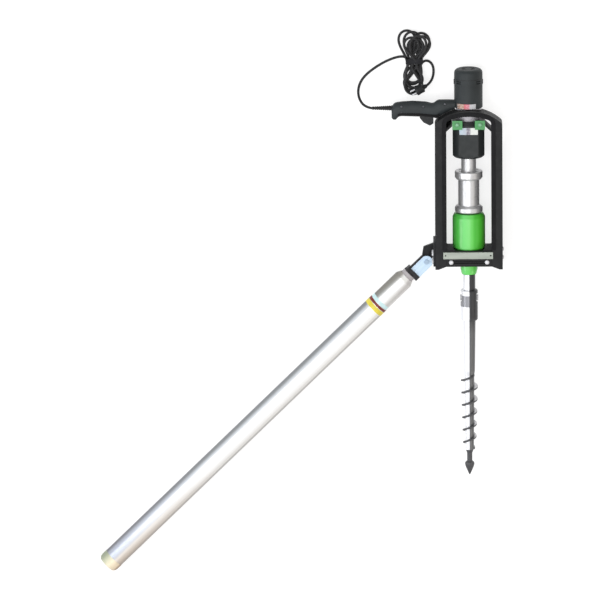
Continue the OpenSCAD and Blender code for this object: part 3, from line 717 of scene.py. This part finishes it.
FINISHES = {
    "motor_housing": (motor_plastic, 0), "motor_cap": (motor_plastic, 0), "stator": (dark_steel, 0),
    "carbon_brushes": (carbon, 0), "ball_bearings": (turned_steel, 0), "rotor_shaft": (turned_steel, 0),
    "armature": (copper, 0), "cooling_fan": (black_plastic, 0), "gearbox_housing": (gearbox_black, 1.0),
    "neck_collar": (grey_aluminium, 0.6), "first_ring_gear": (dark_steel, 0),
    "first_planet_a": (turned_steel, 0), "first_planet_b": (turned_steel, 0),
    "first_planet_c": (turned_steel, 0), "first_carrier": (dark_steel, 0), "spindle": (turned_steel, 0.5),
    "upper_flange": (turned_steel, 0.5), "coupling_tube": (turned_steel, 0.5),
    "lower_flange": (turned_steel, 0.5), "coupling_screws": (dark_steel, 0.3),
    "input_shaft": (turned_steel, 0), "reduction_housing": (housing_green, 1.0),
    "second_ring_gear": (dark_steel, 0), "second_planet_a": (turned_steel, 0),
    "second_planet_b": (turned_steel, 0), "second_planet_c": (turned_steel, 0),
    "output_carrier": (auger_steel, 0), "auger_coupling": (auger_steel, 0.6),
    "coupling_bolt": (zinc_plate, 0.5), "auger_shaft": (auger_steel, 0), "auger_tip": (blade_steel, 0.4),
    "left_channel": (frame_black, 0.8), "right_channel": (frame_black, 0.8), "top_arch": (frame_black, 0.8),
    "base_channel": (frame_black, 0.8), "front_brace": (brace_steel, 0), "frame_bolts": (bolt_zinc, 0.4),
    "diagonal_stays": (frame_black, 0.8), "clamp_ring": (frame_black, 0.8), "clamp_lugs": (lug_green, 0.8),
    "arm_bracket": (frame_black, 0.8), "clevis_cheeks": (bright_steel, 0), "clevis_pin": (pin_steel, 0.6),
    "knuckle_block": (knuckle_steel, 1.0), "inner_tube": (sleeve_steel, 0), "tube_collar": (dark_red, 0.5),
    "outer_tube": (tube_steel, 0), "arm_end_cap": (cream_plastic, 0.6), "switch_body": (black_plastic, 0),
    "trigger": (black_plastic, 1.2), "lock_button": (dark_red, 0.5),
}
for node, (finish, edge) in FINISHES.items():
    o = NODES[node]
    o.data.materials.clear()
    o.data.materials.append(finish)
    if edge:
        normals = o.data.attributes.get("custom_normal")
        if normals:
            o.data.attributes.remove(normals)
        o.data.polygons.foreach_set("use_smooth", [True] * len(o.data.polygons))
        o.modifiers.new("weld", "WELD").merge_threshold = 1e-6
        soften(o, edge, 2, 25)
        o.modifiers.new("normals", "WEIGHTED_NORMAL").keep_sharp = True

# ---------- rubber trims on the frame's inner edges, their near-black a painted shade of the channels' inner recess ---

LIP_R, LIP_Y = 174.0, 283.3      # radius and centre of the arch's inner lip
corner_y = LIP_Y + math.sqrt(LIP_R ** 2 - FLANGE_INNER ** 2)
start_angle = math.atan2(corner_y - LIP_Y, -FLANGE_INNER)
arc = [(LIP_R * math.cos(a), LIP_Y + LIP_R * math.sin(a))
       for a in [start_angle + (math.pi - 2 * start_angle) * k / 36 for k in range(2, 35)]]
bend = [(-FLANGE_INNER, corner_y - 9), (-FLANGE_INNER + 0.6, corner_y - 4.5),
        (-FLANGE_INNER + 3, corner_y - 0.6)]
half_path = [(-FLANGE_INNER, 38 + 8 * k) for k in range(int((corner_y - 50) / 8))] + bend
inner_edge = half_path + arc + [(-x, y) for x, y in reversed(half_path)]
lipped = [(1.6, -4.8), (1.6, 0.9), (0.9, 1.6), (-11.2, 1.6), (-12.0, 0.9), (-12.0, 0.0), (0.0, 0.0),
          (0.0, -4.0), (-12.0, -4.0), (-12.0, -4.8)]
piece("edge_trim", sweep([(x, y, FRAME_DEPTH) for x, y in inner_edge], lipped), trim_rubber_painted_shade,
      edge=0.25, segments=2)

# ---------- plates ----------


def curved_plate(x0, x1, y0, y1, radius, thick, steps=28):
    """A plate bent round the machine's axis."""
    verts, faces = [], []
    for k in range(steps + 1):
        x = x0 + (x1 - x0) * k / steps
        for y, r in ((y0, radius), (y1, radius), (y1, radius + thick), (y0, radius + thick)):
            a = math.asin(x / radius)
            verts.append((r * math.sin(a), y, AXIS_Z + r * math.cos(a)))
    for k in range(steps):
        faces += [(4 * k + i, 4 * k + (i + 1) % 4, 4 * k + 4 + (i + 1) % 4, 4 * k + 4 + i) for i in range(4)]
    return verts, faces + [(3, 2, 1, 0), tuple(4 * steps + i for i in range(4))]


def rivet(x, y, z, tilt=0.0):
    place = Matrix.Translation((x, y, z)) @ Matrix.Rotation(tilt, 4, "Y")
    return moved(lathe([(0, -0.5), (1.3, -0.5), (1.3, 0.1), (1.0, 0.5), (0.5, 0.7), (0, 0.75)], 20), place)


LABEL_THICK = 0.8     # the motor's plate
PLATE_THICK = 1.2     # the gearbox's plate
front_z = span("gearbox_housing")[1].z
piece("motor_plate", curved_plate(-34, 22, 476.5, 492, MOTOR_R, LABEL_THICK), motor_plate,
      edge=0.25, stands_for=["nameplates"])
gear_outline = [(-28.3, 399.5), (-27, 398.2), (27, 398.2), (28.3, 399.5),
                (28.3, 418.5), (27, 419.8), (-27, 419.8), (-28.3, 418.5)]
piece("gearbox_plate", prism(gear_outline, front_z, front_z + PLATE_THICK), gear_plate,
      edge=0.3)
rivets = [rivet(x, y, front_z + PLATE_THICK) for x in (-25.6, 25.6) for y in (400.8, 417.2)]
for x in (-31.5, 19.5):
    for y in (479, 489.5):
        a = math.asin(x / MOTOR_R)
        r = MOTOR_R + LABEL_THICK
        rivets.append(rivet(r * math.sin(a), y, AXIS_Z + r * math.cos(a), a))
piece("plate_rivets", merged(*rivets), zinc_plate)

# ---------- handle ----------

JOINT_GAP = 0.12      # half the gap between the two shells
SHELL_HALF = 18.0
TRIGGER_LOW, TRIGGER_HIGH = span("trigger")


def carved(shape, *cutters):
    """A shape with the cutters taken away, by Blender's exact boolean."""
    def temporary(data):
        mesh = bpy.data.meshes.new("temporary")
        mesh.from_pydata([tuple(v) for v in data[0]], [], data[1])
        bm = bmesh.new()
        bm.from_mesh(mesh)
        bmesh.ops.recalc_face_normals(bm, faces=bm.faces)
        bm.to_mesh(mesh)
        bm.free()
        o = bpy.data.objects.new("temporary", mesh)
        bpy.context.scene.collection.objects.link(o)
        return o
    base = temporary(shape)
    tools = [temporary(c) for c in cutters]
    for tool in tools:
        cut = base.modifiers.new("cut", "BOOLEAN")
        cut.operation, cut.solver, cut.object = "DIFFERENCE", "EXACT", tool
    bpy.context.view_layer.update()
    result = base.evaluated_get(bpy.context.evaluated_depsgraph_get()).to_mesh()
    made = [tuple(v.co) for v in result.vertices], [tuple(p.vertices) for p in result.polygons]
    for o in (base, *tools):
        mesh = o.data
        bpy.data.objects.remove(o)
        bpy.data.meshes.remove(mesh)
    return made


# The grip's upper and lower outline, as (x, y)
GRIP_TOP = [(-236, 468), (-233, 479), (-229, 486), (-222, 490.5), (-205, 493), (-170, 495), (-130, 492.5),
            (-118, 489.5), (-110, 487.8), (-104, 490), (-97, 496), (-90, 498.6), (-60, 498.6), (-38, 497.5)]
GRIP_LOW = [(-236, 446), (-233, 439), (-228, 436.4), (-221, 437.2), (-217, 443), (-213, 447.3),
            (-205, 448.8), (-150, 447), (-106, 443.5), (-97, 440.5), (-82, 451.4), (-66, 460.6),
            (-50, 467.6), (-38, 471.2)]


def level(points, x):
    """The height of a line of points at x."""
    for (x0, y0), (x1, y1) in zip(points, points[1:]):
        if x <= x1:
            return y0 + (y1 - y0) * (x - x0) / (x1 - x0)
    return points[-1][1]


def grip_ring(x, turns, proud=0.0, power=2.5):
    """Points round the grip at x; turn 0 is its top, 0.25 the front and 0.5 its lower side."""
    top, low = (sum(level(line, x + d) for d in (-2, -1, 0, 1, 2)) / 5 for line in (GRIP_TOP, GRIP_LOW))
    end = min(1.0, 0.72 + 0.28 * (x + 235) / 5)
    half = (top - low) / 2 * (0.86 + 0.14 * end) + proud
    depth = SHELL_HALF * (0.7 + 0.3 * end) + proud
    ring = []
    for turn in turns:
        c, sn = math.cos(2 * math.pi * turn), math.sin(2 * math.pi * turn)
        ring.append((x, (top + low) / 2 + half * math.copysign(abs(c) ** (2 / power), c),
                     AXIS_Z + depth * math.copysign(abs(sn) ** (2 / power), sn)))
    return ring


def skin(rings):
    """A closed form through rings of the same number of points."""
    n = len(rings[0])
    faces = [(i * n + k, i * n + (k + 1) % n, (i + 1) * n + (k + 1) % n, (i + 1) * n + k)
             for i in range(len(rings) - 1) for k in range(n)]
    return [v for ring in rings for v in ring], \
        faces + [tuple(reversed(range(n))), tuple((len(rings) - 1) * n + k for k in range(n))]


def shell(front, stations):
    """One half of the grip, flat along the joint."""
    rings = []
    for x in stations:
        turns = [0.5 * k / 28 for k in range(29)]
        ring = [(a, b, max(c, AXIS_Z + JOINT_GAP)) for a, b, c in grip_ring(x, turns)]
        rings.append(ring if front else [(a, b, 2 * AXIS_Z - c) for a, b, c in ring])
    return skin(rings)


stations = [-235, -234.3, -233, -231, -228.5] + [-226 + 2.5 * k for k in range(75)]
opening = block(TRIGGER_LOW.x - 0.6, TRIGGER_HIGH.x + 0.6, 425, 460.5, AXIS_Z - 8.8, AXIS_Z + 8.8)
screw_at = [(-205, 480), (-138, 480), (-72, 487), (-205, 460)]
screw_z = AXIS_Z + SHELL_HALF - 3.4
well = lathe([(0, 0), (4.2, 0), (4.2, 6), (0, 6)], 40)
wells = [moved(well, Matrix.Translation((x, y, screw_z))) for x, y in screw_at]
button_hole = moved(lathe([(0, 0), (6.8, 0), (6.8, 9), (0, 9)], 40), Matrix.Translation((-162, 468, 31)))
piece("handle_front", carved(shell(True, stations), opening, *wells), motor_plastic,
      smooth=35, stands_for=["handle_front_shell"])
piece("handle_rear", carved(shell(False, stations), opening, button_hole), motor_plastic,
      smooth=35, stands_for=["handle_rear_shell"])

# Soft grip round the lower side, with grooves across it
pad_turns = [0.315 + 0.37 * k / 40 for k in range(41)]
pad_rings = [grip_ring(x, pad_turns, 0.7) + grip_ring(x, pad_turns[::-1], -0.6)
             for x in [-216 + 2.4 * k for k in range(54)]]
grooves = [block(x, x + 1.6, 436, 463, AXIS_Z + side * 17.6 - 1.4, AXIS_Z + side * 17.6 + 1.6)
           for side in (-1, 1) for x in (-204 + 7 * i for i in range(7))]
piece("soft_grip", carved(skin(pad_rings), opening, *grooves), grip_rubber, smooth=35)


def socket_screw(radius, height, place, depth=0.9):
    """A pan head with a hexagon socket."""
    r, h = radius, height
    rings = [(0, 0), (r, 0), (r, 0.45 * h), (0.9 * r, 0.8 * h), (0.7 * r, h), (0.46 * r, h),
             (0.42 * r, h - 0.1), (0.42 * r, h - depth), (0, h - depth)]
    return moved(lathe(rings, 36, hexed=(6, 7)), place)


piece("handle_screws", merged(*[socket_screw(3.4, 1.6, Matrix.Translation((x, y, screw_z)))
                                for x, y in screw_at]), dark_steel)

# Strain relief: a tapered sleeve with rings
sleeve = [(0, 0), (4.4, 0), (5.0, 0.6)]
for k in range(9):
    z, r = 2 + 6.2 * k, 5.2 + 0.3 * k
    sleeve += [(r, z), (r, z + 3.6), (r - 1.1, z + 4.2), (r - 1.1, z + 5.4)]
sleeve += [(8, 58.6), (8.6, 59.2), (8.6, 62), (8, 62.6), (8, 78), (0, 78)]
guard_low = span("cord_guard")[0]
piece("cord_sleeve", moved(lathe(sleeve, 48), Matrix.Translation((guard_low.x, 473, AXIS_Z))
                           @ Matrix.Rotation(math.pi / 2, 4, "Y")), cord_rubber,
      stands_for=["cord_guard"])

# ---------- motor ----------

cap_top = span("motor_cap")[1].y
case_top = span("motor_housing")[1].y
BRUSH_Y = 555
SCREW_CIRCLE = 24      # radius on which the cap's screws stand
brush_caps, case_screws = [], []
for side in (-1, 1):
    seat = Matrix.Translation((0, BRUSH_Y, AXIS_Z)) @ Matrix.Rotation(side * math.pi / 2, 4, "Y")
    brush_caps.append(moved(lathe([(0, 42.5), (8, 42.5), (8, 44.3), (7.4, 44.9), (5.6, 44.9), (5.2, 44.5),
                                   (3.4, 44.5), (3.4, 43.4), (0, 43.4)], 40, hexed=(6, 7)), seat))
for k in range(4):
    a = math.radians(45 + 90 * k)
    case_screws.append(socket_screw(2.6, 1.4, on_axis(cap_top - 0.35)
                                   @ Matrix.Translation((SCREW_CIRCLE * math.cos(a),
                                                           SCREW_CIRCLE * math.sin(a), 0)), 0.8))
piece("brush_caps", merged(*brush_caps), black_plastic)
piece("case_screws", merged(*case_screws), dark_steel)
# Raised ribs round the cap's end
rib = prism([(12, -0.9), (20, -1.2), (20.6, -0.6), (20.6, 0.6), (20, 1.2), (12, 0.9)], 0, 0.9)
ribs = [moved(rib, on_axis(cap_top - 0.4, math.radians(15 * k + 7.5))) for k in range(24)]
piece("cap_ribs", merged(*ribs), black_plastic, edge=0.25)
joint_ring = lathe([(MOTOR_R - 0.4, 0), (MOTOR_R + 0.25, 0.3),
                    (MOTOR_R + 0.25, 1.9), (MOTOR_R - 0.4, 2.2)], 96)
piece("case_joint", moved(joint_ring, on_axis(case_top - 1.1)), black_plastic)

# ---------- auger screw ----------

SCREW_TOP, PITCH, SCREW_TURNS = -366.0, 39.0, 6
SCREW_R, SCREW_LOW_R, ROOT_R = 27.0, 20.0, 11.0
FADE_IN, FADE_OUT = 3, 4.8       # how fast the blade grows at its top and shrinks at its foot, to a turn


def screw_blade(per_turn=72):
    """The right-handed blade: thick at the root, with a rounded edge, fading in and out at its ends."""
    n = SCREW_TURNS * per_turn
    verts, faces = [], []
    for i in range(n + 1):
        t, turns = i / n, i / per_turn
        grow = min(1, FADE_IN * turns, (SCREW_TURNS - turns) * FADE_OUT + 0.25)
        edge = ROOT_R + 4 + (SCREW_R + (SCREW_LOW_R - SCREW_R) * t - ROOT_R - 4) * grow
        a = 2 * math.pi * turns
        y = SCREW_TOP + 3 - PITCH * turns
        for r, dy in ((ROOT_R, 3.4), (ROOT_R + 4, 3.2), (edge - 0.8, 2.8), (edge, 2.0), (edge, -2.0),
                      (edge - 0.8, -2.8), (ROOT_R + 4, -3.2), (ROOT_R, -3.4)):
            verts.append((r * math.cos(a), y + dy, AXIS_Z + r * math.sin(a)))
    m = 8
    for i in range(n):
        faces += [(i * m + (k + 1) % m, i * m + k, (i + 1) * m + k, (i + 1) * m + (k + 1) % m)
                  for k in range(m)]
    return verts, faces + [tuple(range(m)), tuple(n * m + k for k in reversed(range(m)))]


piece("auger_blade", screw_blade(), blade_steel, body="auger", smooth=50,
      stands_for=["auger_flight"])

# ---------- torque arm ----------


def ring_band(inner, outer, low, high):
    """A band round the arm from low to high millimetres down it, with its edges eased by 0.3."""
    points = [(inner, low), (outer, low + 0.3), (outer, high - 0.3), (inner, high)]
    return moved(lathe(points, 96), on_tube())


CAP_END = 1370.0       # the cap's end, from the hinge pin
piece("reflective_band", ring_band(TUBE_R - 1.6, TUBE_R - 1.1, 183, 195), cyan_band,
      body="arm")
piece("yellow_band", ring_band(TUBE_R - 0.1, TUBE_R + 0.3, 205, 220), yellow_band, body="tube")
cap_outline = [(0, 1322), (TUBE_R - 1.6, 1322), (TUBE_R - 1.6, 1337.8), (TUBE_R + 0.5, 1338),
               (TUBE_R + 0.5, 1355), (TUBE_R - 1, 1363), (TUBE_R - 6, CAP_END - 1), (0, CAP_END)]
piece("end_cap", moved(lathe(cap_outline, 96), on_tube()), cap_plastic, body="tube",
      edge=0.5, stands_for=["arm_end_cap"])

# ---------- floor, light, and the end ----------

floor_mesh = bpy.data.meshes.new("floor")
FLOOR_REACH = 12.0
FLOOR_GLOW = 0.76      # lifts the floor to the photograph's plain white
ROOM_STRENGTH = 0.8
FLOOR_DROP = 0.0005    # keeps the floor clear of the parts that lie on it
floor_corners = [(x * FLOOR_REACH, y * FLOOR_REACH, 0) for x, y in ((-1, -1), (1, -1), (1, 1), (-1, 1))]
floor_mesh.from_pydata(floor_corners, [], [(0, 1, 2, 3)])
floor = bpy.data.objects.new("floor", floor_mesh)
floor.location.z = CAD_BOX[0].z - FLOOR_DROP
bpy.context.scene.collection.objects.link(floor)
f = Finish("floor", Specular_IOR_Level=0.2)
f.colour(f.ramp(f.noise(3, detail=2), (0.3, (0.30, 0.30, 0.30)), (0.7, (0.32, 0.32, 0.32))))
f.rough(f.noise(40), 0.65, 0.8)
f.shader.inputs["Emission Color"].default_value = (1, 1, 1, 1)
f.shader.inputs["Emission Strength"].default_value = FLOOR_GLOW
floor_mesh.materials.append(f.material)


def softbox(name, place, aim, size, watts, colour=(1, 1, 1)):
    """A rectangular light at place, turned to aim."""
    data = bpy.data.lights.new(name, "AREA")
    data.shape = "RECTANGLE"
    data.size, data.size_y = size
    data.energy = watts
    data.color = colour
    o = bpy.data.objects.new(name, data)
    o.location = place
    o.rotation_mode = "QUATERNION"
    o.rotation_quaternion = (Vector(aim) - Vector(place)).to_track_quat("-Z", "Y")
    bpy.context.scene.collection.objects.link(o)


softbox("overhead", (-0.9, 0.2, 3.4), (-0.3, 0.0, 0), (1.4, 3.2), 60)
softbox("left", (-2.6, -0.6, 1.5), (-0.2, -0.1, 0), (1.8, 1.2), 26)
softbox("right", (2.2, -1.6, 1.6), (0, 0, 0), (1.2, 1.2), 14, (1.0, 0.96, 0.9))

# The room: a bright ceiling that darkens towards the walls, cool on the left and warm on the right
world = bpy.data.worlds.new("studio")
bpy.context.scene.world = world
world.use_nodes = True
room = Nodes(world.node_tree)
back = world.node_tree.nodes["Background"]
look = room.add("TexCoord").outputs["Generated"]


def toward(x, y, z):
    return room.add("VectorMath", {"operation": "DOT_PRODUCT"}, i0=look, i1=(x, y, z)).outputs["Value"]


light = room.ramp(toward(0, 0, 1), (0.0, (0.62, 0.62, 0.62)), (0.5, (0.8, 0.8, 0.8)), (0.9, (1, 1, 1)))
tint = room.ramp(room.mask(toward(1, 0, 0), -1, 1), (0.0, (0.84, 0.93, 1.0)), (0.42, (1, 1, 1)),
                 (0.58, (1, 1, 1)), (1.0, (1.0, 0.92, 0.82)))
light = room.mix(1.0, light, tint, "MULTIPLY")
room.feed(back.inputs["Color"], light)
back.inputs["Strength"].default_value = ROOM_STRENGTH
bpy.context.scene.view_settings.view_transform = "Standard"
